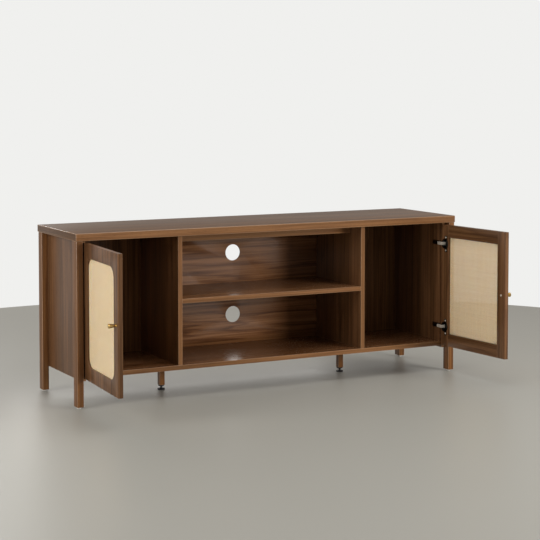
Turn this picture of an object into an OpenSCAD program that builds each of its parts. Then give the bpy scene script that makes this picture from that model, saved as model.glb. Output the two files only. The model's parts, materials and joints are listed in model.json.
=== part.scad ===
// Low television stand: an open two-level bay between two cupboards with cane-panelled doors.
// Origin: on the floor, in the middle of the space the stand takes up with both doors open.
// +X is to the right, +Y is to the back (the doors open towards -Y), +Z is up.

/* [Cabinet] */
// Overall width of the top board
stand_w = 1500; // [1300:10:1700]
// Overall depth of the top board
stand_d = 380; // [360:5:450]
// Overall height
stand_h = 585; // [540:5:650]
// Thickness of the top board
top_t = 25; // [22:1:30]
// Thickness of every other carcass board
board_t = 16; // [16:1:18]
// Height of the bottom board's underside above the floor
ground_gap = 97; // [90:1:120]
// Width of the open bay between the dividers
middle_w = 712; // [600:2:760]
// Height of the shelf's upper face above the floor
shelf_z = 341; // [300:1:380]
// Distance from the top's front edge to the carcass boards' front edges
carcass_set_back = 23.5; // [23.5:0.5:30]
// Thickness of the back panels
back_t = 4; // [3:1:6]
// Diameter of the cable holes
cable_hole_d = 60; // [50:1:70]

/* [Legs] */
// Width of a corner leg, seen from the front
leg_w = 23; // [20:1:30]
// Depth of a corner leg, seen from the side
leg_d = 34; // [30:1:45]
// Side of a square middle leg
middle_leg_w = 20; // [18:1:24]
// Distance from the top's front edge to a middle leg's centre
middle_leg_back = 190; // [150:1:230]
// Height of a levelling foot below its leg
foot_h = 17; // [14:1:20]

/* [Doors] */
// Angle at which both doors stand open
door_open = 94; // [0:1:104]
// Height of a door
door_h = 453; // [440:1:460]
// Height of a door's lower edge above the floor
door_z = 100; // [98:1:104]
// Thickness of the one-piece front panel of a door
front_t = 6; // [5:0.5:6]
// Thickness of the stiles and rails behind it
frame_t = 10; // [9:0.5:10]
// Width of the stiles
stile_w = 42; // [41:1:50]
// Height of the rails
rail_h = 46; // [40:1:60]
// Radius of the rounded corners of the front panel's opening
corner_r = 38; // [20:1:60]
// Length of a knob
knob_l = 25; // [18:1:32]

/* [Hidden] */
$fn = 48;
left = -1;
right = 1;

// Carcass
under_top = stand_h - top_t;
leg_overhang = 2;
leg_out_x = stand_w / 2 - leg_overhang;
side_out_x = leg_out_x - leg_w;
side_in_x = side_out_x - board_t;
side_low_z = ground_gap - 8;
divider_in_x = middle_w / 2;
divider_out_x = divider_in_x + board_t;
divider_mid_x = divider_in_x + board_t / 2;
floor_z = ground_gap + board_t;
shelf_under_z = shelf_z - board_t;
rear_leg_back = stand_d - 4;
rear_leg_front = rear_leg_back - leg_d;
back_face = rear_leg_back - 22;
carcass_d = back_face - carcass_set_back;
stretcher_h = 30;
stretcher_back = 100;
shelf_gap = 0.1;
cable_hole_zs = [220, 451];

// Feet
glide_r = 8;
glide_h = 6;
glide_edge = 1;
nail_r = 1.5;
nail_bite = 12;
pad_r = 13;
pad_edge = 1;
pad_h = 4;
pad_neck_r = 6;
pad_neck_h = 2.5;
foot_stem_r = 4;
foot_stem_bite = 24;
foot_bore_bite = 35;

// Doors: u runs along the door from its hinge edge, w runs inwards from its outer face
door_t = front_t + frame_t;
leg_gap = 3.5;
door_face = 3;
hinge_x = side_out_x - leg_gap;
door_w = hinge_x - divider_in_x - 1;
pivot_u = 9.5;
pivot_w = 6.2;
door_reach = (door_w - pivot_u) * sin(door_open) - (door_t - pivot_w) * cos(door_open);
front_y = -(stand_d - (door_reach - door_face - pivot_w)) / 2;
cane_lap = 8;
cane_t = 1;
knob_u = door_w - 21;
knob_low_r = 5;
knob_high_r = 8;
knob_base_r = 6;
knob_base_h = 1.5;
knob_cap_h = 2;
knob_edge = 0.5;
knob_screw_r = 2;
knob_screw_bite = 12;
knob_screw_head_r = 4;
knob_screw_head_h = 2;
door_mid_z = door_z + door_h / 2;
top_rail_z = door_z + door_h - rail_h;

// Concealed hinges
hinge_inset = 71;
low_hinge_z = door_z + hinge_inset;
high_hinge_z = door_z + door_h - hinge_inset;
hinge_zs = [low_hinge_z, high_hinge_z];
cup_u = 22;
cup_r = 17.5;
cup_depth = 13;
cup_wall = 0.8;
cup_screw_pitch = 48;
cup_screw_u = cup_u + 6;
cup_screw_r = 1.5;
cup_screw_bite = 9;
cup_screw_head_r = 3.2;
cup_screw_head_h = 1.5;
flange_t = 1.2;
flange_lip = 1.5;
flange_end = 6;
flange_wing = 12;
pin_r = 1.2;
running_gap = 0.05;
lug_z = 7;
lug_t = 2.2;
lug_h = 7;
lug_front = 5;
lug_back = 4;
knuckle_r = 2.2;
arm_w = 11;
arm_t = 2;
neck_u = 13;
neck_t = 2.5;
arm_sink = 0.2;
arm_body_front = 16;
arm_body_back = 58;
arm_wall = 1.5;
arm_top_t = 1;
arm_end_t = 4;
wall_x = hinge_x - pivot_u - side_in_x;
plate_t = 2.5;
plate_h = 16;
plate_end = 7;
plate_screw_backs = [43, 75];
plate_screw_r = 1.8;
plate_screw_bite = 14;
plate_screw_head_r = 3.5;
plate_screw_head_h = 1.5;

// Fasteners
joint_backs = [70, 310];
cam_r = 7.5;
cam_h = 12.5;
cam_reach = 34;
bolt_bite = 11;
bolt_r = 3;
bolt_head_r = 3.5;
bolt_head_h = 4;
dowel_r = 4;
dowel_l = 30;
dowel_back = 190;
screw_r = 2.5;
screw_head_r = 5;
screw_head_h = 3;
divider_screw_l = 50;
middle_leg_screw_l = 45;
leg_screw_l = 30;
leg_screw_backs = [30, back_face - 6];
leg_screw_zs = [132, 529];
back_screw_r = 1.5;
back_screw_bite = 12;
back_screw_head_r = 3;
back_screw_head_h = 1.5;
back_screw_off = 4;
back_screw_xs = [150, 300, 450, 600];
back_screw_zs = [130, 260, 390, 520];

// Colours
walnut = "#7a5c48";
walnut_edge = "#8a6648";
cane_colour = "#d8bc98";
brass = "#c9a04e";
nickel = "#c8c6c0";
zinc = "#9a9a98";
beech = "#c8a878";

// A board from one corner to the opposite one; y is measured back from the top's front edge
module board(low, high) {
    translate([low.x, front_y + low.y, low.z]) cube(high - low);
}

// Turns a shape made for the right-hand side into its left-hand twin
module on_side(side) {
    mirror([side == left ? 1 : 0, 0, 0]) children();
}

module at(x, back, z) {
    translate([x, front_y + back, z]) children();
}

// ---- Fastener places. Each bolt runs along +Z, from the board it bites into at the origin. ----

module at_top_joints(side) {
    for (back = joint_backs) {
        on_side(side) at(side_in_x + board_t / 2, back, under_top) rotate([180, 0, 0]) children();
        on_side(side) at(divider_mid_x, back, under_top) rotate([180, 0, 180]) children();
    }
}

module at_bottom_joints(side) {
    for (back = joint_backs)
        on_side(side) at(side_in_x, back, ground_gap + board_t / 2) rotate([0, -90, 0]) children();
}

module at_shelf_joints(side) {
    for (back = joint_backs)
        on_side(side) at(divider_in_x, back, shelf_under_z + board_t / 2) rotate([0, -90, 0]) children();
}

// The cam disc lies across the bolt's end, flush with the board face on the bolt's -X side
module cam_blank() {
    translate([-board_t / 2, 0, cam_reach]) rotate([0, 90, 0]) cylinder(r = cam_r, h = cam_h);
}

module cam() {
    difference() {
        cam_blank();
        cylinder(r = bolt_head_r, h = cam_reach);
    }
}

module cam_bolt() {
    translate([0, 0, -bolt_bite]) cylinder(r = bolt_r, h = bolt_bite + cam_reach - bolt_head_h);
    translate([0, 0, cam_reach - bolt_head_h]) cylinder(r = bolt_head_r, h = bolt_head_h);
}

module cam_bores() {
    cam_blank();
    cylinder(r = bolt_head_r, h = cam_reach);
    translate([0, 0, -bolt_bite]) cylinder(r = bolt_r, h = bolt_bite);
}

module at_every_cam() {
    for (side = [left, right]) {
        at_top_joints(side) children();
        at_bottom_joints(side) children();
        at_shelf_joints(side) children();
    }
}

module dowel() {
    translate([0, 0, -dowel_l / 3]) cylinder(r = dowel_r, h = dowel_l);
}

module at_dowels(side) {
    for (x = [side_in_x + board_t / 2, divider_mid_x])
        on_side(side) at(x, dowel_back, under_top) rotate([180, 0, 0]) children();
    for (back = [leg_overhang + leg_d / 2, rear_leg_back - leg_d / 2])
        on_side(side) at(leg_out_x - leg_w / 2, back, under_top) rotate([180, 0, 0]) children();
    on_side(side) at(side_in_x, dowel_back, ground_gap + board_t / 2) rotate([0, -90, 0]) children();
    on_side(side) at(divider_in_x, dowel_back, shelf_under_z + board_t / 2) rotate([0, -90, 0]) children();
    on_side(side) at(divider_in_x, stretcher_back + board_t / 2, under_top - stretcher_h / 2)
        rotate([0, -90, 0]) children();
}

// Screws up through the bottom board into the dividers, and from the bays into the legs
module panel_screw(length) {
    cylinder(r = screw_head_r, h = screw_head_h);
    cylinder(r = screw_r, h = length);
}

module at_divider_screws(side) {
    for (back = joint_backs)
        on_side(side) at(divider_mid_x, back, ground_gap) children();
}

module at_middle_leg_screw(side) {
    on_side(side) at(divider_mid_x, middle_leg_back, floor_z) rotate([180, 0, 0]) children();
}

module at_leg_screws(side) {
    for (back = leg_screw_backs, z = leg_screw_zs)
        on_side(side) at(side_in_x, back, z) rotate([0, 90, 0]) children();
}

module at_back_screws() {
    for (side = [left, right]) {
        for (off = [-back_screw_off, back_screw_off], z = back_screw_zs)
            at(side * (divider_mid_x + off), back_face + back_t, z) rotate([90, 0, 0]) children();
        for (x = back_screw_xs)
            at(side * x, back_face + back_t, ground_gap + board_t / 2) rotate([90, 0, 0]) children();
    }
}

module back_screw_bore() {
    cylinder(r = back_screw_r, h = back_t + back_screw_bite);
}

// ---- Carcass ----

module top_panel() {
    color(walnut) difference() {
        board([-stand_w / 2, 0, under_top], [stand_w / 2, stand_d, stand_h]);
        for (side = [left, right]) {
            at_top_joints(side) cam_bores();
            at_dowels(side) dowel();
        }
    }
}

module bottom_panel() {
    color(walnut) difference() {
        board([-side_in_x, carcass_set_back, ground_gap], [side_in_x, back_face, floor_z]);
        for (side = [left, right]) {
            at_bottom_joints(side) cam_bores();
            at_dowels(side) dowel();
            at_divider_screws(side) panel_screw(divider_screw_l);
            at_middle_leg_screw(side) panel_screw(middle_leg_screw_l);
        }
        at_back_screws() back_screw_bore();
    }
}

module side_panel(side) {
    color(walnut) difference() {
        on_side(side) board([side_in_x, carcass_set_back, side_low_z],
            [side_out_x, back_face + back_t, under_top]);
        at_top_joints(side) cam_bores();
        at_bottom_joints(side) cam_bores();
        at_dowels(side) dowel();
        at_leg_screws(side) panel_screw(leg_screw_l);
        on_side(side) at_plate_screws() hinge_plate_screw();
    }
}

module divider(side) {
    color(walnut) difference() {
        on_side(side) board([divider_in_x, carcass_set_back, floor_z],
            [divider_out_x, back_face, under_top]);
        at_top_joints(side) cam_bores();
        at_shelf_joints(side) cam_bores();
        at_dowels(side) dowel();
        at_divider_screws(side) panel_screw(divider_screw_l);
        at_back_screws() back_screw_bore();
    }
}

module middle_shelf() {
    color(walnut) difference() {
        board([-divider_in_x + shelf_gap, carcass_set_back, shelf_under_z],
            [divider_in_x - shelf_gap, back_face - shelf_gap, shelf_z]);
        for (side = [left, right]) {
            at_shelf_joints(side) cam_bores();
            at_dowels(side) dowel();
        }
    }
}

module top_stretcher() {
    color(walnut) difference() {
        board([-divider_in_x, stretcher_back, under_top - stretcher_h],
            [divider_in_x, stretcher_back + board_t, under_top]);
        for (side = [left, right]) at_dowels(side) dowel();
    }
}

module back_panel(low_x, high_x) {
    color(walnut) difference() {
        board([low_x, back_face, ground_gap], [high_x, back_face + back_t, under_top]);
        at_back_screws() back_screw_bore();
    }
}

module middle_back_panel() {
    color(walnut) difference() {
        back_panel(-divider_mid_x, divider_mid_x);
        for (z = cable_hole_zs)
            at(0, back_face - 1, z) rotate([-90, 0, 0]) cylinder(d = cable_hole_d, h = back_t + 2, $fn = 96);
    }
}

// ---- Legs ----

module corner_leg(side, back) {
    color(walnut_edge) difference() {
        on_side(side) board([side_out_x, back, glide_h], [leg_out_x, back + leg_d, under_top]);
        at_dowels(side) dowel();
        at_leg_screws(side) panel_screw(leg_screw_l);
        on_side(side) at(leg_out_x - leg_w / 2, back + leg_d / 2, 0) glide_nail();
    }
}

module glide_nail() {
    cylinder(r = nail_r, h = glide_h + nail_bite);
}

module leg_glides() {
    color("white") for (side = [left, right], back = [leg_overhang, rear_leg_back - leg_d])
        on_side(side) at(leg_out_x - leg_w / 2, back + leg_d / 2, 0) {
            cylinder(r1 = glide_r - glide_edge, r2 = glide_r, h = glide_edge);
            translate([0, 0, glide_edge]) cylinder(r = glide_r, h = glide_h - glide_edge);
            glide_nail();
        }
}

module middle_leg(side) {
    color(walnut_edge) difference() {
        on_side(side) at(divider_mid_x - middle_leg_w / 2, middle_leg_back - middle_leg_w / 2, foot_h)
            cube([middle_leg_w, middle_leg_w, ground_gap - foot_h]);
        on_side(side) at(divider_mid_x, middle_leg_back, foot_h - 1)
            cylinder(r = foot_stem_r + running_gap, h = foot_bore_bite + 1);
        at_middle_leg_screw(side) panel_screw(middle_leg_screw_l);
    }
}

module levelling_foot(side) {
    color("#202020") on_side(side) at(divider_mid_x, middle_leg_back, 0) {
        cylinder(r1 = pad_r - pad_edge, r2 = pad_r, h = pad_edge);
        translate([0, 0, pad_edge]) cylinder(r = pad_r, h = pad_h - pad_edge);
        translate([0, 0, pad_h]) cylinder(r1 = pad_r, r2 = pad_neck_r, h = pad_neck_h);
        cylinder(r = foot_stem_r, h = foot_h + foot_stem_bite);
    }
}

// ---- Fasteners of the carcass ----

module cam_locks() {
    color(zinc) at_every_cam() cam();
}

module cam_bolts() {
    color(zinc) at_every_cam() cam_bolt();
}

module wooden_dowels() {
    color(beech) for (side = [left, right]) at_dowels(side) dowel();
}

module panel_screws() {
    color(zinc) for (side = [left, right]) {
        at_divider_screws(side) panel_screw(divider_screw_l);
        at_leg_screws(side) panel_screw(leg_screw_l);
        at_middle_leg_screw(side) panel_screw(middle_leg_screw_l);
    }
}

module back_panel_screws() {
    color(zinc) at_back_screws() {
        translate([0, 0, -back_screw_head_h]) cylinder(r = back_screw_head_r, h = back_screw_head_h);
        back_screw_bore();
    }
}

// ---- Doors, made closed on the right-hand side and then swung open about their hinge pins ----

module swung(side) {
    on_side(side) at(hinge_x - pivot_u, door_face + pivot_w, 0) rotate([0, 0, door_open])
        translate([pivot_u, -pivot_w, 0]) mirror([1, 0, 0]) children();
}

module door_block(low, high) {
    translate(low) cube(high - low);
}

module cane_blank() {
    door_block([stile_w - cane_lap, front_t, door_z + rail_h - cane_lap],
        [door_w - stile_w + cane_lap, front_t + cane_t, door_z + door_h - rail_h + cane_lap]);
}

module along_w(u, w, z) {
    translate([u, w, z]) rotate([-90, 0, 0]) children();
}

module knob_screw_bore() {
    along_w(knob_u, -1, door_mid_z) cylinder(r = knob_screw_r, h = door_t + 2);
}

module cup_bores() {
    for (z = hinge_zs) {
        along_w(cup_u, door_t - cup_depth, z) cylinder(r = cup_r, h = cup_depth + 1, $fn = 96);
        for (dz = [-1, 1])
            along_w(cup_screw_u, door_t - cup_screw_bite, z + dz * cup_screw_pitch / 2)
                cylinder(r = cup_screw_r, h = cup_screw_bite + 1);
    }
}

module opening_outline() {
    low = [stile_w + corner_r, door_z + rail_h + corner_r];
    high = [door_w - stile_w - corner_r, door_z + door_h - rail_h - corner_r];
    for (u = [low.x, high.x], z = [low.y, high.y]) translate([u, z]) circle(r = corner_r, $fn = 96);
    translate([low.x - corner_r, low.y]) square([high.x - low.x + 2 * corner_r, high.y - low.y]);
    translate([low.x, low.y - corner_r]) square([high.x - low.x, high.y - low.y + 2 * corner_r]);
}

module door_front_panel(side) {
    color(walnut) swung(side) difference() {
        door_block([0, 0, door_z], [door_w, front_t, door_z + door_h]);
        translate([0, front_t + 1, 0]) rotate([90, 0, 0])
            linear_extrude(height = front_t + 2) opening_outline();
        cup_bores();
        knob_screw_bore();
    }
}

module door_stile(side, u) {
    color(walnut) swung(side) difference() {
        door_block([u, front_t, door_z], [u + stile_w, door_t, door_z + door_h]);
        cane_blank();
        cup_bores();
        knob_screw_bore();
    }
}

module door_rail(side, z) {
    color(walnut) swung(side) difference() {
        door_block([stile_w, front_t, z], [door_w - stile_w, door_t, z + rail_h]);
        cane_blank();
    }
}

module door_cane(side) {
    color(cane_colour) swung(side) difference() {
        cane_blank();
        cup_bores();
    }
}

module door_knob(side) {
    color(brass) swung(side) along_w(knob_u, 0, door_mid_z) rotate([180, 0, 0]) difference() {
        union() {
            cylinder(r = knob_base_r, h = knob_base_h);
            translate([0, 0, knob_base_h])
                cylinder(r1 = knob_low_r, r2 = knob_high_r, h = knob_l - knob_base_h - knob_cap_h);
            translate([0, 0, knob_l - knob_cap_h]) cylinder(r = knob_high_r, h = knob_cap_h - knob_edge);
            translate([0, 0, knob_l - knob_edge])
                cylinder(r1 = knob_high_r, r2 = knob_high_r - knob_edge, h = knob_edge);
        }
        cylinder(r = knob_screw_r, h = knob_screw_bite);
    }
}

module door_knob_screw(side) {
    color(nickel) swung(side) {
        along_w(knob_u, door_t, door_mid_z) cylinder(r = knob_screw_head_r, h = knob_screw_head_h);
        along_w(knob_u, -knob_screw_bite, door_mid_z)
            cylinder(r = knob_screw_r, h = door_t + knob_screw_bite);
    }
}

// ---- Concealed hinges: cup and pin swing with the door, arm and plate stay on the side panel ----

module pin_line(r, half_l) {
    translate([pivot_u, pivot_w, -half_l]) cylinder(r = r, h = 2 * half_l);
}

module hinge_cup(side, z) {
    floor_w = door_t - cup_depth;
    color(nickel) swung(side) translate([0, 0, z]) difference() {
        union() {
            difference() {
                union() {
                    along_w(cup_u, floor_w, 0) cylinder(r = cup_r, h = cup_depth, $fn = 96);
                    along_w(cup_u, door_t, 0) cylinder(r = cup_r + flange_lip, h = flange_t, $fn = 96);
                    door_block([cup_u, door_t, -cup_screw_pitch / 2 - flange_end],
                        [cup_u + flange_wing, door_t + flange_t, cup_screw_pitch / 2 + flange_end]);
                }
                along_w(cup_u, floor_w + cup_wall, 0)
                    cylinder(r = cup_r - cup_wall, h = cup_depth + flange_t, $fn = 96);
            }
            intersection() {
                along_w(cup_u, floor_w + cup_wall / 2, 0)
                    cylinder(r = cup_r - cup_wall / 2, h = lug_h, $fn = 96);
                for (lug = [-lug_z - lug_t, lug_z])
                    door_block([pivot_u - lug_front, floor_w, lug],
                        [pivot_u + lug_back, floor_w + lug_h, lug + lug_t]);
            }
        }
        pin_line(pin_r, lug_z + lug_t);
        for (dz = [-1, 1])
            along_w(cup_screw_u, door_t - 1, dz * cup_screw_pitch / 2)
                cylinder(r = cup_screw_r, h = flange_t + 2);
    }
}

module hinge_cup_screws(side) {
    color(nickel) swung(side) for (z = hinge_zs, dz = [-1, 1]) {
        along_w(cup_screw_u, door_t - cup_screw_bite, z + dz * cup_screw_pitch / 2)
            cylinder(r = cup_screw_r, h = cup_screw_bite + flange_t);
        along_w(cup_screw_u, door_t + flange_t, z + dz * cup_screw_pitch / 2)
            cylinder(r = cup_screw_head_r, h = cup_screw_head_h);
    }
}

module hinge_pins(side) {
    color(zinc) swung(side) for (z = hinge_zs) translate([0, 0, z]) pin_line(pin_r, lug_z + lug_t);
}

// Arm and plate are placed from the pin: x towards the middle of the bay, y to the back
module from_pin(side, z) {
    on_side(side) at(hinge_x - pivot_u, door_face + pivot_w, z) mirror([1, 0, 0]) children();
}

module hinge_arm(side, z) {
    neck_end = neck_u + neck_t;
    body_l = arm_body_back - arm_body_front;
    channel_w = arm_w - 2 * arm_wall;
    color(nickel) from_pin(side, z) difference() {
        union() {
            translate([0, 0, -arm_w / 2]) cylinder(r = knuckle_r, h = arm_w);
            translate([0, arm_sink - arm_t, -arm_w / 2]) cube([neck_end, arm_t, arm_w]);
            translate([neck_u, arm_sink - arm_t, -arm_w / 2])
                cube([neck_t, arm_body_front + arm_t, arm_w]);
            translate([wall_x + plate_t, arm_body_front, -arm_w / 2])
                cube([neck_end - wall_x - plate_t, body_l, arm_w]);
        }
        translate([wall_x + plate_t - arm_top_t, arm_body_front + arm_end_t, -channel_w / 2])
            cube([neck_end - wall_x - plate_t, body_l, channel_w]);
        translate([0, 0, -arm_w]) cylinder(r = pin_r + running_gap, h = 2 * arm_w);
    }
}

module hinge_plate_screw() {
    cylinder(r = plate_screw_head_r, h = plate_screw_head_h);
    cylinder(r = plate_screw_r, h = plate_t + plate_screw_bite);
}

module at_plate_screws() {
    for (z = hinge_zs, back = plate_screw_backs)
        at(side_in_x - plate_t - plate_screw_head_h, back, z) rotate([0, 90, 0]) children();
}

module hinge_plate(side, z) {
    color(nickel) difference() {
        on_side(side) at(side_in_x - plate_t, plate_screw_backs[0] - plate_end, z - plate_h / 2)
            cube([plate_t, plate_screw_backs[1] - plate_screw_backs[0] + 2 * plate_end, plate_h]);
        on_side(side) at_plate_screws() hinge_plate_screw();
    }
}

module hinge_plate_screws(side) {
    color(nickel) on_side(side) at_plate_screws() hinge_plate_screw();
}

top_panel();
bottom_panel();
side_panel(left);  // left_side_panel
side_panel(right);  // right_side_panel
divider(left);  // left_divider
divider(right);  // right_divider
middle_shelf();
back_panel(-side_in_x, -divider_mid_x);  // left_back_panel
middle_back_panel();
back_panel(divider_mid_x, side_in_x);  // right_back_panel
top_stretcher();
corner_leg(left, leg_overhang);  // front_left_leg
corner_leg(right, leg_overhang);  // front_right_leg
corner_leg(left, rear_leg_front);  // rear_left_leg
corner_leg(right, rear_leg_front);  // rear_right_leg
middle_leg(left);  // left_middle_leg
middle_leg(right);  // right_middle_leg
levelling_foot(left);  // left_levelling_foot
levelling_foot(right);  // right_levelling_foot
leg_glides();
cam_locks();
cam_bolts();
wooden_dowels();
panel_screws();
back_panel_screws();
door_front_panel(left);  // left_door_front_panel
door_stile(left, 0);  // left_door_hinge_stile
door_stile(left, door_w - stile_w);  // left_door_free_stile
door_rail(left, top_rail_z);  // left_door_top_rail
door_rail(left, door_z);  // left_door_bottom_rail
door_cane(left);  // left_door_cane
door_knob(left);  // left_door_knob
door_knob_screw(left);  // left_door_knob_screw
hinge_cup(left, high_hinge_z);  // left_upper_hinge_cup
hinge_cup(left, low_hinge_z);  // left_lower_hinge_cup
hinge_cup_screws(left);  // left_hinge_cup_screws
hinge_pins(left);  // left_hinge_pins
hinge_arm(left, high_hinge_z);  // left_upper_hinge_arm
hinge_arm(left, low_hinge_z);  // left_lower_hinge_arm
hinge_plate(left, high_hinge_z);  // left_upper_hinge_plate
hinge_plate(left, low_hinge_z);  // left_lower_hinge_plate
hinge_plate_screws(left);  // left_hinge_plate_screws
door_front_panel(right);  // right_door_front_panel
door_stile(right, 0);  // right_door_hinge_stile
door_stile(right, door_w - stile_w);  // right_door_free_stile
door_rail(right, top_rail_z);  // right_door_top_rail
door_rail(right, door_z);  // right_door_bottom_rail
door_cane(right);  // right_door_cane
door_knob(right);  // right_door_knob
door_knob_screw(right);  // right_door_knob_screw
hinge_cup(right, high_hinge_z);  // right_upper_hinge_cup
hinge_cup(right, low_hinge_z);  // right_lower_hinge_cup
hinge_cup_screws(right);  // right_hinge_cup_screws
hinge_pins(right);  // right_hinge_pins
hinge_arm(right, high_hinge_z);  // right_upper_hinge_arm
hinge_arm(right, low_hinge_z);  // right_lower_hinge_arm
hinge_plate(right, high_hinge_z);  // right_upper_hinge_plate
hinge_plate(right, low_hinge_z);  // right_lower_hinge_plate
hinge_plate_screws(right);  // right_hinge_plate_screws
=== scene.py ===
# %% [markdown]
# # A low television stand with cane doors
#
# The stand is flat-pack furniture: chipboard panels wrapped in a walnut-printed foil, four straight
# corner legs and two short ones in the middle, a middle bay with one shelf, and a cupboard at each
# end behind a door with a woven cane panel. Its design, sizes and joints are fixed already. This
# lesson gives it its looks: real edges, woven cane, turned brass, screws and hinges, and a finish
# for every surface.
#
# First the fixed model is loaded. Everything is in metres, and both doors stand open.

# %% Load the fixed model
import json
import math

import bpy
from mathutils import Matrix, Vector


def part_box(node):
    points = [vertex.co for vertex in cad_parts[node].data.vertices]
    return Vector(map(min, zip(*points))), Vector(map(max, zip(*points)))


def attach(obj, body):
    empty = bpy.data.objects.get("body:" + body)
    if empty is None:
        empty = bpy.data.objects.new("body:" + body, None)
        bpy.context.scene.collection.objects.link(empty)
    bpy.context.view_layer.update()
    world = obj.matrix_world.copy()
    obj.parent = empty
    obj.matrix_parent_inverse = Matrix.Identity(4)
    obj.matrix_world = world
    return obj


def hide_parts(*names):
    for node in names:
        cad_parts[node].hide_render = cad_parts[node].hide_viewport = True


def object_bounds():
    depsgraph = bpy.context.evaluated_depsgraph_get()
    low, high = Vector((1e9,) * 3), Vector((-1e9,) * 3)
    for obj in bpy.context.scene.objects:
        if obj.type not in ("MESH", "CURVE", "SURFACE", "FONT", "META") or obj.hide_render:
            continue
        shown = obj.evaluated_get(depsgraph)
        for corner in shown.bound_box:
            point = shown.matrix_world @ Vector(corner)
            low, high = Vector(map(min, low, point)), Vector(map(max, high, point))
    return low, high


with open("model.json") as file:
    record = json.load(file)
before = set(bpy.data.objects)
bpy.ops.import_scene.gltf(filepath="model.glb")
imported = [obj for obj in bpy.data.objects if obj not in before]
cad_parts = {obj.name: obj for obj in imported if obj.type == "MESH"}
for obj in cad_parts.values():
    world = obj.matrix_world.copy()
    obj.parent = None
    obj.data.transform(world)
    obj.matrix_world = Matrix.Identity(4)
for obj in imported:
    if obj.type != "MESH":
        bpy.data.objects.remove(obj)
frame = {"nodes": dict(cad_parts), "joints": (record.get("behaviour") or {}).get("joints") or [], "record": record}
cad_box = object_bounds()
MM = 0.001
SIDES = ("left", "right")
print("the stand spans", [round(v, 4) for v in cad_box[1] - cad_box[0]], "metres")

# %% [markdown]
# ## The camera
#
# The stand is seen from the front left, from a little over a metre up, with a long lens. The lens
# is shifted, as a product camera's is, so that upright edges stay nearly upright while the stand
# sits in the middle of the picture.

# %% Set the camera
CAMERA_PLACE = Vector((-2.560, -4.8385, 1.092))
CAMERA_TURN = math.radians(27.69)
CAMERA_DIP = math.radians(3.50)
CAMERA_LENS = 104.15
CAMERA_SHIFT = -0.176

bpy.ops.object.camera_add(
    location=CAMERA_PLACE, rotation=(math.radians(90) - CAMERA_DIP, 0, -CAMERA_TURN)
)
camera = bpy.context.object
camera.name = "camera"
camera.data.lens = CAMERA_LENS
camera.data.shift_y = CAMERA_SHIFT
bpy.context.scene.camera = camera
print("the camera is", round(CAMERA_PLACE.length, 2), "m from the origin")

# %% [markdown]
# ## Floor and light
#
# The stage is a plain pale floor in a soft studio. The key light, a big soft window, stands low at
# the front right and reaches into the bays. It is kept out of reflections, where its outline would
# show as a patch on the lacquer. One wide light hangs overhead, a wide and a narrow one stand at
# the left for the stand's side, and one behind draws its rear edges.
#
# The surroundings have three strengths: bright where the camera sees them, dimmer in reflections,
# and dimmer still as light, because a real studio's walls are far away and partly dark.

# %% Set the stage
def linear(text):
    """The linear colour of an sRGB hex value such as "#7a5c48"."""
    parts = [int(text[i:i + 2], 16) / 255 for i in (1, 3, 5)]
    return [c / 12.92 if c <= 0.04045 else ((c + 0.055) / 1.055) ** 2.4 for c in parts] + [1]


def add_node(tree, kind, sockets=(), stops=(), **settings):
    """Adds a node with its settings. Each socket gets a value, or a link from an output.

    A colour ramp also gets its stops, each a place and a hex colour.
    """
    node = tree.nodes.new(kind)
    for name, value in settings.items():
        setattr(node, name, value)
    for name, value in dict(sockets).items():
        if isinstance(value, bpy.types.NodeSocket):
            tree.links.new(value, node.inputs[name])
        else:
            node.inputs[name].default_value = value
    for i, (place, colour) in enumerate(stops):
        elements = node.color_ramp.elements
        element = elements[i] if i < len(elements) else elements.new(place)
        element.position, element.color = place, linear(colour)
    return node


scene = bpy.context.scene
scene.view_settings.view_transform = "Standard"
world = bpy.data.worlds.new("studio")
world.use_nodes = True
scene.world = world
world.node_tree.nodes.clear()
tree = world.node_tree
seen = add_node(tree, "ShaderNodeBackground", {"Color": linear("#f0f0ee"), "Strength": 1.0})
gleam = add_node(tree, "ShaderNodeBackground", {"Color": linear("#f4f0ea"), "Strength": 0.6})
fill = add_node(tree, "ShaderNodeBackground", {"Color": linear("#f4efe8"), "Strength": 0.36})
ray = add_node(tree, "ShaderNodeLightPath")
unseen = add_node(tree, "ShaderNodeMixShader", {
    "Fac": ray.outputs["Is Glossy Ray"], 1: fill.outputs[0], 2: gleam.outputs[0]})
either = add_node(tree, "ShaderNodeMixShader", {
    "Fac": ray.outputs["Is Camera Ray"], 1: unseen.outputs[0], 2: seen.outputs[0]})
add_node(tree, "ShaderNodeOutputWorld", {"Surface": either.outputs[0]})

LIGHTS = {  # name: place, what it points at, width, height, watts
    "window_light": ((2.3, -3.6, 1.15), (0, 0, 0.33), 1.3, 1.0, 135),
    "overhead_light": ((0.3, -0.6, 3.2), (0, 0, 0.5), 3.0, 2.0, 42),
    "left_light": ((-3.3, -0.5, 1.4), (-0.6, 0, 0.4), 1.6, 1.4, 42),
    "strip_light": ((-3.4, -1.7, 0.45), (-0.75, 0, 0.3), 0.3, 0.8, 16),
    "rim_light": ((-0.6, 3.6, 1.9), (-0.6, 0, 0.6), 1.2, 0.4, 20),
}
for name, (place, target, width, height, watts) in LIGHTS.items():
    aim = (Vector(target) - Vector(place)).to_track_quat("-Z", "Y").to_euler()
    bpy.ops.object.light_add(type="AREA", location=place, rotation=aim)
    light = bpy.context.object
    light.name = name
    light.data.shape = "RECTANGLE"
    light.data.size, light.data.size_y = width, height
    light.data.energy = watts
    light.visible_glossy = name != "window_light"
    light.visible_camera = False
print(len(LIGHTS), "lights set")

# %% [markdown]
# The floor is painted matt grey. A lit white card stands behind the stand, and only gloss shows it:
# it takes the place of the bright room behind a real stand, whose reflection through the cable
# holes makes a spot of light on the shelf and on the bottom board.

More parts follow.
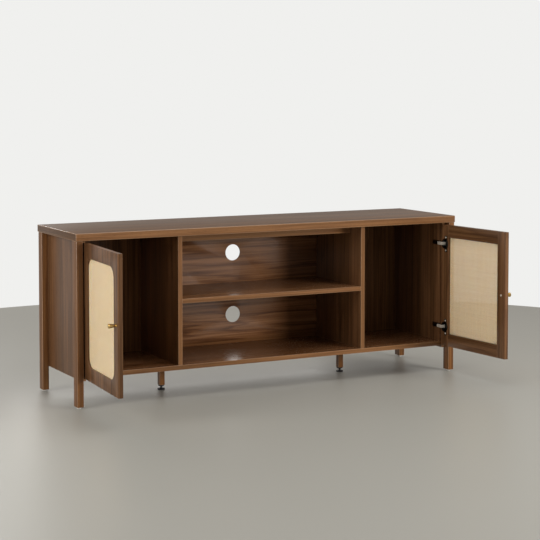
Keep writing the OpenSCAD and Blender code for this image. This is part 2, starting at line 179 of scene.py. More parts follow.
# %% Lay the floor and stand the card
CARD_BEHIND = 0.5
CARD_MIDDLE = 0.39
CARD_SIZE = (1.4, 0.36, 1)
CARD_GLOW = 2.1
bpy.ops.mesh.primitive_plane_add(
    size=1, location=(0, cad_box[1].y + CARD_BEHIND, CARD_MIDDLE),
    rotation=(math.radians(90), 0, 0))
card = bpy.context.object
card.name = "white_card"
card.scale = CARD_SIZE
card_paper = bpy.data.materials.new("lit_white_card")
card_paper.use_nodes = True
card_shader = card_paper.node_tree.nodes["Principled BSDF"]
card_shader.inputs["Emission Color"].default_value = linear("#f4f2ee")
card_shader.inputs["Emission Strength"].default_value = CARD_GLOW
card.data.materials.append(card_paper)
card.visible_camera = card.visible_diffuse = card.visible_shadow = False

FLOOR_RADIUS = 2.35
bpy.ops.mesh.primitive_circle_add(vertices=128, radius=FLOOR_RADIUS, fill_type="NGON")
floor = bpy.context.object
floor.name = "floor"
floor_paint = bpy.data.materials.new("matt_painted_floor")
floor_paint.use_nodes = True
floor_shader = floor_paint.node_tree.nodes["Principled BSDF"]
floor_shader.inputs["Base Color"].default_value = linear("#a3a199")
floor_shader.inputs["Roughness"].default_value = 0.42
floor.data.materials.append(floor_paint)
print("a round floor", 2 * FLOOR_RADIUS, "m wide")

# %% [markdown]
# ## Tools of the bench
#
# Most pieces start as a block between two corners, or as an outline turned about an axis, as on a
# lathe. Both are shaped in edit mode with the usual operators. An operator acts on all that is
# selected, so each helper first leaves nothing but its own piece selected.

# %% Helpers that start and finish a piece
def only(piece):
    """Leaves one object selected and active."""
    bpy.ops.object.select_all(action="DESELECT")
    piece.select_set(True)
    bpy.context.view_layer.objects.active = piece


def block(name, low, high):
    """A block between two corners, in edit mode with everything selected."""
    bpy.ops.object.select_all(action="DESELECT")
    bpy.ops.mesh.primitive_cube_add(size=1, location=(Vector(low) + Vector(high)) / 2)
    piece = bpy.context.object
    piece.name = piece.data.name = name
    piece.scale = Vector(high) - Vector(low)
    bpy.ops.object.transform_apply(location=True, rotation=True, scale=True)
    bpy.ops.object.mode_set(mode="EDIT")
    bpy.ops.mesh.select_all(action="SELECT")
    return piece


def smooth(piece, degrees=35):
    """Back in object mode, shaded smooth except across sharp edges."""
    if bpy.context.mode != "OBJECT":
        bpy.ops.object.mode_set(mode="OBJECT")
    only(piece)
    bpy.ops.object.shade_smooth_by_angle(angle=math.radians(degrees))
    return piece


def rounded_block(name, low, high, radius, segments=3):
    """A block with every edge and corner rounded."""
    piece = block(name, low, high)
    bpy.ops.mesh.bevel(offset=radius, segments=segments, profile=0.5, affect="EDGES")
    return smooth(piece)


def apply_modifier(piece, kind, **settings):
    """Adds a modifier with its settings and applies it at once."""
    only(piece)
    modifier = piece.modifiers.new(kind.lower(), kind)
    for name, value in settings.items():
        setattr(modifier, name, value)
    bpy.ops.object.modifier_apply(modifier=modifier.name)


def cut(piece, cutter):
    """Takes the cutter's shape out of the piece and throws the cutter away."""
    if bpy.context.mode != "OBJECT":
        bpy.ops.object.mode_set(mode="OBJECT")
    apply_modifier(piece, "BOOLEAN", object=cutter, operation="DIFFERENCE", solver="EXACT")
    bpy.data.objects.remove(cutter)


def drawn(name, outline):
    """A line through (radius, height) points, in edit mode."""
    bpy.ops.object.select_all(action="DESELECT")
    bpy.ops.mesh.primitive_plane_add(size=MM)
    piece = bpy.context.object
    piece.name = piece.data.name = name
    bpy.ops.object.mode_set(mode="EDIT")
    bpy.ops.mesh.merge(type="CENTER")
    here = Vector((0, 0, 0))
    for i, (radius, height) in enumerate(outline):
        there = Vector((radius, 0, height))
        if i == 0:
            bpy.ops.transform.translate(value=there - here)
        else:
            bpy.ops.mesh.extrude_region_move(TRANSFORM_OT_translate={"value": there - here})
        here = there
    return piece


def seal():
    """Merges the seams of the piece in edit mode, and turns its faces outwards."""
    bpy.ops.mesh.select_all(action="SELECT")
    bpy.ops.mesh.remove_doubles(threshold=MM / 100)
    bpy.ops.mesh.normals_make_consistent(inside=False)


def turned(name, outline, steps=32):
    """Turns an outline about the Z axis, as on a lathe."""
    piece = drawn(name, outline)
    bpy.ops.mesh.select_all(action="SELECT")
    bpy.ops.mesh.spin(steps=steps, angle=math.tau, center=(0, 0, 0), axis=(0, 0, 1))
    seal()
    return smooth(piece)


def placed(piece, at, axis=(0, 0, 1)):
    """Stands a turned piece at a point, with its Z axis along another."""
    turn = Vector((0, 0, 1)).rotation_difference(Vector(axis)).to_matrix().to_4x4()
    piece.data.transform(Matrix.Translation(at) @ turn)
    return piece


def twin(piece, name):
    """A copy with a mesh of its own."""
    other = bpy.data.objects.new(name, piece.data.copy())
    bpy.context.collection.objects.link(other)
    return other


def joined(name, pieces):
    """Several pieces made one."""
    only(pieces[0])
    for piece in pieces[1:]:
        piece.select_set(True)
    if len(pieces) > 1:
        bpy.ops.object.join()
    pieces[0].name = pieces[0].data.name = name
    return pieces[0]


def corners(piece):
    """Lowest and highest corner of a mesh."""
    points = [v.co for v in piece.data.vertices]
    return [Vector([end(p[i] for p in points) for i in range(3)]) for end in (min, max)]


# %% [markdown]
# A door stands open in the fixed model, which is an awkward way to build it. So each door piece is
# measured and built with its door shut, square to the axes, and is then swung open about the hinge
# pin by the angle that the joint's range gives.

# %% Helpers for the doors and for nodes of several solids
swing = {}
for joint in frame["joints"]:
    if joint["type"] == "hinge":
        pin = Matrix.Translation(joint["pos_m"])
        angle = math.radians(-joint["range_deg"][0])
        side = joint["child"].split("_")[0]
        swing[side] = pin @ Matrix.Rotation(angle, 4, Vector(joint["axis"])) @ pin.inverted()
opened = {side: swing[side].to_euler().z for side in SIDES}


def mesh_copy(node, matrix=Matrix()):
    """A CAD node's mesh as a new object, with its loose triangles merged into one skin."""
    piece = bpy.data.objects.new(node + "_copy", frame["nodes"][node].data.copy())
    bpy.context.collection.objects.link(piece)
    piece.data.transform(matrix)
    only(piece)
    bpy.ops.object.mode_set(mode="EDIT")
    bpy.ops.mesh.select_all(action="SELECT")
    bpy.ops.mesh.remove_doubles(threshold=MM / 200)
    bpy.ops.object.mode_set(mode="OBJECT")
    return piece


def solids(node, matrix=Matrix()):
    """The lowest and highest corner of each separate solid in a CAD node, bottom first."""
    piece = mesh_copy(node, matrix)
    bpy.ops.object.mode_set(mode="EDIT")
    bpy.ops.mesh.select_all(action="SELECT")
    bpy.ops.mesh.separate(type="LOOSE")
    bpy.ops.object.mode_set(mode="OBJECT")
    parts = list(bpy.context.selected_objects)
    boxes = [corners(part) for part in parts]
    boxes.sort(key=lambda box: [round(v, 4) for v in (box[0].z, box[0].x, box[0].y)])
    for part in parts:
        bpy.data.objects.remove(part)
    return boxes


def shut_box(side, node):
    """Corners of a door's CAD node with the door shut."""
    piece = mesh_copy(node, swing[side].inverted())
    box = corners(piece)
    bpy.data.objects.remove(piece)
    return box


for side in SIDES:
    print(side, "door stands open by", round(abs(math.degrees(opened[side])), 1), "degrees")

# %% [markdown]
# ## Walnut-printed foil
#
# The boards are chipboard wrapped in a paper foil that is printed with walnut grain and sealed with
# a satin lacquer. A scanned picture of wood could be wrapped round them, but a pattern made from
# noise follows every board at its real size and never repeats. Four noises make the grain: wide
# soft bands; growth lines that wander and arch, which are the contour lines of one stretched noise;
# thin streaks; and short dark pores, which also dent the lacquer a little. All are stretched along
# the grain. The lacquer gives a clear, soft mirror.

# %% Make the walnut finishes
AXES = "XYZ"
MULTIPLY = {"data_type": "RGBA", "blend_type": "MULTIPLY"}
BAND_PLACES = (0.30, 0.47, 0.58, 0.74)
RING_COUNT = 9.0
RING_STOPS = [(0.0, "#ffffff"), (0.55, "#f2ece8"), (0.86, "#a08c80"), (1.0, "#f4efec")]
STREAK_STOPS = [(0.34, "#c4b8b0"), (0.52, "#f4f0ee"), (0.68, "#ffffff")]
PORE_STOPS = [(0.30, "#8c7a70"), (0.40, "#ffffff")]


def new_material(name):
    """A material, its node tree and its shader."""
    material = bpy.data.materials.new(name)
    material.use_nodes = True
    return material, material.node_tree, material.node_tree.nodes["Principled BSDF"]


def pattern(tree, grain, along, across, turn=0.0, **sockets):
    """A noise of real size on the piece: `along` the grain's axis and `across` it, in metres."""
    sizes = [along if axis == grain else across for axis in AXES]
    place = add_node(tree, "ShaderNodeTexCoord")
    scaled = add_node(tree, "ShaderNodeMapping", {
        "Vector": place.outputs["Object"], "Rotation": (0, 0, turn), "Scale": sizes,
    }, vector_type="TEXTURE")
    noise = add_node(tree, "ShaderNodeTexNoise", {
        "Vector": scaled.outputs[0], "Scale": 1.0, **sockets})
    return noise.outputs["Fac"]


def walnut(name, grain, tones, turn=0.0, veins=1.0, gloss=0.3, band=26 * MM, shine=0.36):
    """Printed or stained walnut, with its grain along one axis of the board, turned about Z."""
    material, tree, shader = new_material(name)
    bands = pattern(tree, grain, 1400 * MM, band, turn,
                    Detail=5.0, Roughness=0.62, Distortion=0.25)
    rings = pattern(tree, grain, 1300 * MM, 75 * MM, turn,
                    Detail=3.0, Roughness=0.5, Distortion=0.15)
    streaks = pattern(tree, grain, 420 * MM, 4.5 * MM, turn, Detail=3.0, Roughness=0.7)
    pores = pattern(tree, grain, 16 * MM, 0.9 * MM, turn, Detail=2.0, Roughness=0.6)
    count = add_node(tree, "ShaderNodeMath", {0: rings, 1: RING_COUNT}, operation="MULTIPLY")
    line = add_node(tree, "ShaderNodeMath", {0: count.outputs[0]}, operation="FRACT")
    colour = add_node(tree, "ShaderNodeValToRGB", {"Fac": bands}, zip(BAND_PLACES, tones))
    colour = colour.outputs["Color"]
    for mask, stops, amount in ((line.outputs[0], RING_STOPS, veins),
                                (streaks, STREAK_STOPS, 0.85), (pores, PORE_STOPS, 0.7)):
        tint = add_node(tree, "ShaderNodeValToRGB", {"Fac": mask}, stops)
        mix = add_node(tree, "ShaderNodeMix", {0: amount, 6: colour, 7: tint.outputs["Color"]},
                       **MULTIPLY)
        colour = mix.outputs[2]
    tree.links.new(colour, shader.inputs["Base Color"])
    sheen = add_node(tree, "ShaderNodeMapRange", {
        "Value": pores, "To Min": gloss + 0.10, "To Max": gloss - 0.04})
    tree.links.new(sheen.outputs[0], shader.inputs["Roughness"])
    shader.inputs["Specular IOR Level"].default_value = shine
    dents = add_node(tree, "ShaderNodeBump", {
        "Height": pores, "Strength": 0.25, "Distance": 0.08 * MM})
    tree.links.new(dents.outputs[0], shader.inputs["Normal"])
    return material


print("the noise's range is cut into", RING_COUNT, "growth lines")

# %% [markdown]
# One recipe serves every wooden surface, and the parts differ in tone, line strength and lacquer.
# Tones are listed from the darkest band to the palest.
#
# - The foil has a strong print. In the middle bay its lacquer is glossier and mirrors the light
#   softly, and its tones are paler: painted light that brightens the bay's shade. The shelf is the
#   palest. The top is duller, with a more even print.
# - The edging is a strip of the same paper, plainer and paler.
# - An arris is an edge where the wrap turns the corner. It is buffed, and its print is paler there,
#   partly from that wear and partly as a painted highlight; the lacquer shines in a thin bright line.
# - The legs are solid rubberwood, stained to match and lacquered.
#
# A door stands open, so the grain on its pieces is turned by the door's own angle.

# %% Print the walnut on each kind of part
FOIL_TONES = ("#50341d", "#694a2e", "#7c583a", "#8d6746")
# the back and shelf tones are paler copies of the foil: painted light for the shaded bays
BACK_PAINTED_LIGHT_TONES = ("#664427", "#7c5536", "#8d6443", "#9c7250")
SHELF_PAINTED_LIGHT_TONES = ("#7a5431", "#946844", "#a87b54", "#b98b63")
TOP_TONES = ("#523721", "#5f4328", "#6a4b2e", "#735436")
EDGE_TONES = ("#715030", "#805a38", "#8c6440", "#956d47")
# the arris tones are paler partly from buffing and partly as a painted highlight along the edges
ARRIS_BUFFED_AND_HIGHLIGHT_TONES = ("#866040", "#93704f", "#9f7a58", "#a98462")
LEG_TONES = ("#5f3f22", "#78502c", "#8b5f36", "#976a40")
FINE_BAND = 16 * MM

foil_across = walnut("walnut_foil_grain_across", "X", FOIL_TONES)
foil_upright = walnut("walnut_foil_grain_upright", "Z", FOIL_TONES, veins=0.5, band=FINE_BAND)
# paler copies of the foil for the bottom board, the middle back and the shelf: painted light
foil_painted_light_back = walnut("walnut_foil_painted_light_back", "X", BACK_PAINTED_LIGHT_TONES, veins=0.75, gloss=0.22, shine=0.8)
foil_painted_light_shelf = walnut("walnut_foil_painted_light_shelf", "X", SHELF_PAINTED_LIGHT_TONES, veins=0.5, gloss=0.22, shine=0.8)
foil_top = walnut("walnut_foil_top", "X", TOP_TONES, veins=0.35, gloss=0.38, shine=0.2)
edging_across = walnut("walnut_edging_across", "X", EDGE_TONES, veins=0.2, gloss=0.34)
edging_upright = walnut("walnut_edging_upright", "Z", EDGE_TONES, veins=0.2, gloss=0.34)
edging_ends = walnut("walnut_edging_front_to_back", "Y", TOP_TONES, veins=0.2, gloss=0.34)
# the arris finishes: their pale tones are partly a painted highlight
arris_buffed_and_highlight_across = walnut("walnut_arris_buffed_and_painted_highlight_across", "X", ARRIS_BUFFED_AND_HIGHLIGHT_TONES, veins=0.0, shine=1.0)
arris_buffed_and_highlight_upright = walnut(
    "walnut_arris_buffed_and_painted_highlight_upright", "Z", ARRIS_BUFFED_AND_HIGHLIGHT_TONES, veins=0.0, gloss=0.34, shine=1.0)
leg_stain = walnut("walnut_stained_leg", "Z", LEG_TONES, veins=0.4, gloss=0.34)
door_foil, door_rail_foil = {}, {}
for side in SIDES:
    door_foil[side] = walnut(
        f"walnut_foil_{side}_door", "Z", FOIL_TONES, opened[side], veins=0.5, band=FINE_BAND)
    door_rail_foil[side] = walnut(
        f"walnut_foil_{side}_door_rail", "X", FOIL_TONES, opened[side], veins=0.5)
print(len(bpy.data.materials), "materials so far")

# %% [markdown]
# The cut faces of the thin back panels are raw fibreboard, as are their plain rear faces: a felt of
# fine brown wood fibres pressed flat, dull and faintly mottled.

# %% Make the fibreboard finish
fibreboard, tree, shader = new_material("pressed_fibreboard")
felt = pattern(tree, "X", 2.5 * MM, 2.5 * MM, Detail=6.0, Roughness=0.8)
tint = add_node(tree, "ShaderNodeValToRGB", {"Fac": felt}, [
    (0.3, "#5f4936"), (0.55, "#7b6048"), (0.75, "#92755a")])
tree.links.new(tint.outputs["Color"], shader.inputs["Base Color"])
shader.inputs["Roughness"].default_value = 0.8
fibres = add_node(tree, "ShaderNodeBump", {
    "Height": felt, "Strength": 0.4, "Distance": 0.2 * MM})
tree.links.new(fibres.outputs[0], shader.inputs["Normal"])
print("fibreboard made")

# %% [markdown]
# ## The boards
#
# A board is a block whose edges are rounded by less than a millimetre. That small rounding catches
# a line of light along every edge, which a sharp block never does. The edges that show are covered
# by strips of edging. A cut just behind the front face, made with bisect, gives the strip its
# thickness, and the faces in front of the cut get the edging's finish. The rounded faces, which are
# square to no axis, are the arrises and get theirs last: paler tones, partly from buffing and partly
# a painted highlight.

# %% Make the carcass boards
BOARD_ROUND = 0.9 * MM
TOP_ROUND = 1.8 * MM
EDGING = 1.2 * MM
ARRIS_SQUARE = 0.985  # a face is square to an axis if its normal lies along it by this much


def finish_piece(piece, body, slot, *nodes):
    """Says which body a piece rides on and hides the nodes it stands for; the slot is not used."""
    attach(piece, body)
    if nodes:
        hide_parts(*nodes)
    return piece


def mark_arrises(piece, material):
    """Gives the rounded edges a finish of their own, whose pale tones are partly a painted highlight."""
    piece.data.materials.append(material)
    for face in piece.data.polygons:
        if max(abs(c) for c in face.normal) < ARRIS_SQUARE:
            face.material_index = len(piece.data.materials) - 1


def board(name, low, high, foil, edging, banded, radius):
    """A foil-wrapped board with edging on its banded sides."""
    piece = block(name, low, high)
    bpy.ops.mesh.bevel(offset=radius, segments=3, profile=0.5, affect="EDGES")
    cuts = {
        "front": (Vector((0, low.y + EDGING, 0)), Vector((0, 1, 0))),
        "rear": (Vector((0, high.y - EDGING, 0)), Vector((0, -1, 0))),
        "low": (Vector((0, 0, low.z + EDGING)), Vector((0, 0, 1))),
    }
    for banded_side in banded:
        place, normal = cuts[banded_side]
        bpy.ops.mesh.select_all(action="SELECT")
        bpy.ops.mesh.bisect(plane_co=place, plane_no=normal)
    bpy.ops.object.mode_set(mode="OBJECT")
    piece.data.materials.append(foil)
    piece.data.materials.append(edging)
    for face in piece.data.polygons:
        face.material_index = int(any(
            (face.center - cuts[s][0]).dot(cuts[s][1]) < 0 for s in banded))
    mark_arrises(piece, arris_buffed_and_highlight_upright if foil == foil_upright else arris_buffed_and_highlight_across)
    return smooth(piece)


FOIL_SLOT, LEG_SLOT = "walnut_foil_board", "walnut_leg"
boards = {
    "top_panel": (foil_top, edging_across, ("front", "rear")),
    # the bottom board and the shelf get the paler foil, which paints light into the bays
    "bottom_panel": (foil_painted_light_back, edging_across, ("front",)),
    "middle_shelf": (foil_painted_light_shelf, edging_across, ("front",)),
    "top_stretcher": (foil_across, edging_across, ("front",)),
    "left_side_panel": (foil_upright, edging_upright, ("front", "low")),
    "right_side_panel": (foil_upright, edging_upright, ("front", "low")),
    "left_divider": (foil_upright, edging_upright, ("front",)),
    "right_divider": (foil_upright, edging_upright, ("front",)),
}
for node, (foil, edging, banded) in boards.items():
    radius = TOP_ROUND if node == "top_panel" else BOARD_ROUND
    piece = board(node + "_board", *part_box(node), foil, edging, banded, radius)
    if node == "top_panel":
        piece.data.materials.append(edging_ends)
        for face in piece.data.polygons:
            if abs(face.normal.x) > ARRIS_SQUARE:
                face.material_index = len(piece.data.materials) - 1
    finish_piece(piece, "carcass", FOIL_SLOT, node)
print(len(boards), "carcass boards")

# %% [markdown]
# ## The back panels
#
# The back is three sheets of thin fibreboard, foiled on the inside only. The middle one has two
# round holes for cables. Each hole is taken out with a boolean cut by a cylinder, placed by the two
# bores that the fixed model holds, and the new edges get a small bevel.

# %% Make the back panels
HOLE_SIDES = 72
BACK_ROUND = 0.5 * MM
FACES_FRONT = -0.9
holes = [m for m in frame["record"]["mounts"] if m["kind"] == "bore"]

for place in ("left", "middle", "right"):
    node = place + "_back_panel"
    low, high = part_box(node)
    piece = block(node + "_sheet", low, high)
    bpy.ops.object.mode_set(mode="OBJECT")
    for hole in holes if place == "middle" else []:
        bpy.ops.mesh.primitive_cylinder_add(
            vertices=HOLE_SIDES, radius=hole["dims"]["r_mm"] * MM, depth=4 * (high.y - low.y),
            location=hole["pos_m"], rotation=(math.pi / 2, 0, 0))
        cut(piece, bpy.context.object)
    apply_modifier(piece, "BEVEL", width=BACK_ROUND, segments=2, limit_method="ANGLE")
    # the middle back panel gets the paler foil, which paints light into the bay
    piece.data.materials.append(foil_painted_light_back if place == "middle" else foil_upright)
    piece.data.materials.append(fibreboard)
    for face in piece.data.polygons:
        face.material_index = int(face.normal.y > FACES_FRONT)
    smooth(piece)
    finish_piece(piece, "carcass", FOIL_SLOT, node)
print(len(holes), "cable holes of radius", holes[0]["dims"]["r_mm"], "mm")

# %% [markdown]
# ## The legs
#
# The legs are sticks of rubberwood, stained walnut. Their edges are eased more than those of the
# boards. Under each corner leg is a white nail-on glide, and under each middle leg a black foot on
# a threaded stem, with a thin black collar round the stem at the leg's end.

# %% Make the legs
LEG_ROUND = 1.6 * MM
legs = [f"{row}_{side}_leg" for row in ("front", "rear") for side in SIDES]
legs += [side + "_middle_leg" for side in SIDES]
for node in legs:
    piece = rounded_block(node + "_stick", *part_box(node), LEG_ROUND, segments=4)
    piece.data.materials.append(leg_stain)
    # the leg's rounded edges get the pale arris finish, partly a painted highlight
    mark_arrises(piece, arris_buffed_and_highlight_upright)
    finish_piece(piece, "carcass", LEG_SLOT, node)

# %% [markdown]
# The glides and feet are injection-moulded plastic: polyethylene for the white glides, nylon for
# the black feet. Both have a fine, slightly uneven skin from the mould, with a soft sheen.

# %% Make the moulded plastics
GRIT = 0.6 * MM
PATCH = 9 * MM


def plastic(name, hex_colour, roughness):
    """Moulded plastic with a finely grained skin and uneven patches of sheen."""
    material, tree, shader = new_material(name)
    skin = pattern(tree, "X", GRIT, GRIT, Detail=3.0)
    worn = pattern(tree, "X", PATCH, PATCH, Detail=2.0)
    tone = add_node(tree, "ShaderNodeValToRGB", {"Fac": worn}, [
        (0.3, "#dedcda"), (0.7, "#ffffff")])
    tint = add_node(tree, "ShaderNodeMix", {
        0: 1.0, 6: linear(hex_colour), 7: tone.outputs["Color"]}, **MULTIPLY)
    tree.links.new(tint.outputs[2], shader.inputs["Base Color"])
    gloss = add_node(tree, "ShaderNodeMapRange", {
        "Value": worn, "To Min": roughness - 0.06, "To Max": roughness + 0.06})
    tree.links.new(gloss.outputs[0], shader.inputs["Roughness"])
    bump = add_node(tree, "ShaderNodeBump", {
        "Height": skin, "Strength": 0.2, "Distance": 0.05 * MM})
    tree.links.new(bump.outputs[0], shader.inputs["Normal"])
    return material


white_polyethylene = plastic("moulded_white_polyethylene", "#e4e2dc", 0.42)
black_nylon = plastic("moulded_black_nylon", "#1b1b1c", 0.48)
brown_cap = plastic("moulded_brown_polystyrene", "#553a29", 0.4)
print("three moulded plastics")

# %% Turn the glides
glide_boxes = solids("leg_glides")
glides = []
for low, high in glide_boxes:
    radius, height = (high.x - low.x) / 2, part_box("front_left_leg")[0].z
    outline = [
        (0, 0.9 * MM), (2.2 * MM, 0.9 * MM), (2.6 * MM, 0.5 * MM), (3.4 * MM, 0),
        (radius - 1.6 * MM, 0), (radius - 0.5 * MM, 0.6 * MM), (radius, 1.9 * MM),
        (radius, height - 0.3 * MM), (radius - 0.3 * MM, height), (0, height)]
    foot = ((low.x + high.x) / 2, (low.y + high.y) / 2, low.z)
    glides.append(placed(turned("glide", outline, 36), foot))
piece = joined("leg_glide_set", glides)
piece.data.materials.append(white_polyethylene)
finish_piece(piece, "carcass", "white_glide", "leg_glides")
print(len(glide_boxes), "glides")

# %% [markdown]
# A levelling foot is a moulded pad with a threaded stem. The thread is a real spiral: one tooth of
# its outline is swept by the Screw modifier, which turns it and lifts it by one pitch each turn.
# The seam between the turns is then merged. The collar stays with the leg when the foot is screwed
# up or down.

# %% Make the levelling feet
THREAD_PITCH = 1.25 * MM
THREAD_DEPTH = 0.6 * MM
THREAD_START = 6 * MM
STEM_RADIUS = 4 * MM
COLLAR_HEIGHT = 3.7 * MM
PAD_OUTLINE = [  # radius and height in millimetres
    (0, 0), (10.5, 0), (12.2, 0.4), (13, 1.3), (13, 4.6), (12.4, 5.2), (8.2, 6.0), (7.2, 6.4),
    (6.6, 6.5), (0, 6.5)]
COLLAR_OUTLINE = [
    (4.4, 0), (9.6, 0), (10.6, 0.5), (10.9, 1.2), (10.9, 3.7), (4.4, 3.7), (4.4, 0)]
TOOTH = [
    (STEM_RADIUS - THREAD_DEPTH, THREAD_START),
    (STEM_RADIUS, THREAD_START + THREAD_PITCH / 2),
    (STEM_RADIUS - THREAD_DEPTH, THREAD_START + THREAD_PITCH)]

for side in SIDES:
    node = side + "_levelling_foot"
    low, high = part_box(node)
    middle = (low + high) / 2
    pad = turned("pad", [(r * MM, z * MM) for r, z in PAD_OUTLINE], 48)
    pad.data.materials.append(black_nylon)
    stem = drawn("stem", TOOTH)
    bpy.ops.object.mode_set(mode="OBJECT")
    turns = int((high.z - THREAD_START - MM) / THREAD_PITCH) - 1
    apply_modifier(stem, "SCREW", steps=20, render_steps=20, screw_offset=THREAD_PITCH,
                   iterations=turns)
    bpy.ops.object.mode_set(mode="EDIT")
    seal()
    stem.data.materials.append(black_nylon)
    smooth(stem, 50)
    piece = joined(side + "_foot", [pad, stem])
    placed(piece, (middle.x, middle.y, low.z))
    finish_piece(piece, side + "_foot", "black_foot", node)

    collar = turned(side + "_foot_collar", [(r * MM, z * MM) for r, z in COLLAR_OUTLINE], 48)
    collar.data.materials.append(black_nylon)
    leg_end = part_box(side + "_middle_leg")[0].z
    placed(collar, (middle.x, middle.y, leg_end - COLLAR_HEIGHT))
    finish_piece(collar, "carcass", "black_foot")
print("two feet, each with", turns, "turns of thread")

# %% [markdown]
# ## Metals
#
# The knobs are solid brass, turned on a lathe, brushed and lacquered: a warm yellow with a soft
# shine. The hinges are stamped, nickel-plated steel, and their colours are painted light: the cups,
# the plates and the arms' rear halves get a dark nickel, which is painted shade, and the arms' front
# halves and the screws in view a pale one, nearly white, which is a painted highlight. The screws at
# the back and the hidden fixings are zinc plated, a bluer grey.
#
# A metal's colour is its reflection's colour, so each gets a metallic value of one, and fine marks
# break up its roughness. The pale nickel has less than one, so that its pale colour shows even where
# it mirrors a dark cupboard: a painted highlight.

# %% Make the metals
TOOL_MARK = 0.5 * MM
STAIN = 12 * MM
GLOSS_SPREAD = 0.08


def metal(name, hex_colour, roughness, metallic=1.0):
    """Plated or turned metal, with handling marks and a fine tooling grain."""
    material, tree, shader = new_material(name)
    marks = pattern(tree, "Z", 8 * TOOL_MARK, TOOL_MARK, Detail=4.0, Roughness=0.6)
    stain = pattern(tree, "Z", STAIN, STAIN, Detail=3.0)
    tone = add_node(tree, "ShaderNodeValToRGB", {"Fac": stain}, [
        (0.3, "#d8d4cc"), (0.65, "#ffffff")])
    tint = add_node(tree, "ShaderNodeMix", {
        0: 1.0, 6: linear(hex_colour), 7: tone.outputs["Color"]}, **MULTIPLY)
    tree.links.new(tint.outputs[2], shader.inputs["Base Color"])
    shader.inputs["Metallic"].default_value = metallic
    gloss = add_node(tree, "ShaderNodeMapRange", {
        "Value": marks, "To Min": roughness - GLOSS_SPREAD, "To Max": roughness + GLOSS_SPREAD})
    tree.links.new(gloss.outputs[0], shader.inputs["Roughness"])
    grain = add_node(tree, "ShaderNodeBump", {
        "Height": marks, "Strength": 0.15, "Distance": 0.03 * MM})
    tree.links.new(grain.outputs[0], shader.inputs["Normal"])
    return material


brass = metal("turned_lacquered_brass", "#e3bf78", 0.24)
zinc = metal("zinc_plated_steel", "#a9aaab", 0.34)
# the pale nickel paints a highlight, and the dark nickel paints shade, on the hinges
highlight_nickel = metal("nickel_with_painted_highlight", "#e6ddd0", 0.42, metallic=0.45)
shade_nickel = metal("nickel_with_painted_shade", "#3a3735", 0.3)
print("four metals")

# %% [markdown]
# ## The doors
#
# Each door is a thin front panel, cut in one piece with a round-cornered window, backed by a frame
# of two stiles and two rails. The cane is trapped between them. The window's cutter is a block with
# its four short edges bevelled by the corner's radius. From the inside the frame's own window is
# square. The panel and the hinge stile are bored for the two hinge cups.

# %% Make the door panels and frames
DOOR_ROUND = 0.7 * MM
WINDOW_RADIUS = 38 * MM
CUP_RADIUS = 17.5 * MM
CUP_SIDES = 64
CORNER_SEGMENTS = 14
doors = {}


def swung_open(piece, side):
    """Turns a piece that was made on the shut door to where the open door holds it."""
    piece.data.transform(swing[side])
    return piece


def bore_for_cups(piece, side):
    """Bores the round pockets that the two hinge cups sit in."""
    for level in ("upper", "lower"):
        low, high = shut_box(side, f"{side}_{level}_hinge_cup")
        bpy.ops.object.select_all(action="DESELECT")
        bpy.ops.mesh.primitive_cylinder_add(
            vertices=CUP_SIDES, radius=CUP_RADIUS, depth=high.y - low.y,
            location=(low + high) / 2, rotation=(math.pi / 2, 0, 0))
        cut(piece, bpy.context.object)


for side in SIDES:
    door = side + "_door"
    stile_near = shut_box(side, door + "_hinge_stile")
    stile_far = shut_box(side, door + "_free_stile")
    rail_low = shut_box(side, door + "_bottom_rail")
    rail_high = shut_box(side, door + "_top_rail")
    panel = shut_box(side, door + "_front_panel")
    inner_x = sorted([stile_near[0].x, stile_near[1].x, stile_far[0].x, stile_far[1].x])[1:3]
    window = [Vector((inner_x[0], 0, rail_low[1].z)), Vector((inner_x[1], 0, rail_high[0].z))]
    doors[side] = {"window": window, "panel": panel}

    piece = block(door + "_panel", *panel)
    bpy.ops.object.mode_set(mode="OBJECT")
    depth = panel[1].y - panel[0].y
    cutter = block("window_cutter", (window[0].x, panel[0].y - depth, window[0].z),
                   (window[1].x, panel[1].y + depth, window[1].z))
    bpy.ops.mesh.select_mode(type="EDGE")
    bpy.ops.mesh.select_all(action="DESELECT")
    bpy.ops.object.mode_set(mode="OBJECT")
    for edge in cutter.data.edges:
        ends = [cutter.data.vertices[v].co for v in edge.vertices]
        edge.select = abs((ends[0] - ends[1]).y) > depth
    bpy.ops.object.mode_set(mode="EDIT")
    bpy.ops.mesh.bevel(
        offset=WINDOW_RADIUS, segments=CORNER_SEGMENTS, profile=0.5, affect="EDGES")
    bpy.ops.mesh.select_mode(type="VERT")
    cut(piece, cutter)
    bore_for_cups(piece, side)
    only(piece)
    bpy.ops.object.mode_set(mode="EDIT")
    bpy.ops.mesh.select_all(action="SELECT")
    bpy.ops.mesh.quads_convert_to_tris(quad_method="BEAUTY", ngon_method="BEAUTY")
    bpy.ops.object.mode_set(mode="OBJECT")
    apply_modifier(piece, "BEVEL", width=DOOR_ROUND, segments=2, limit_method="ANGLE",
                   angle_limit=math.radians(50))
    piece.data.materials.append(door_foil[side])
    smooth(piece)
    finish_piece(swung_open(piece, side), door, FOIL_SLOT, door + "_front_panel")

    for part, box, foil in (
            ("hinge_stile", stile_near, door_foil), ("free_stile", stile_far, door_foil),
            ("top_rail", rail_high, door_rail_foil), ("bottom_rail", rail_low, door_rail_foil)):
        piece = rounded_block(f"{door}_{part}_bar", *box, DOOR_ROUND, segments=2)
        if part == "hinge_stile":
            bore_for_cups(piece, side)
            smooth(piece)
        piece.data.materials.append(foil[side])
        finish_piece(swung_open(piece, side), door, FOIL_SLOT, f"{door}_{part}")
    print(side, "door window", [round(v / MM) for v in (window[1] - window[0])], "mm")

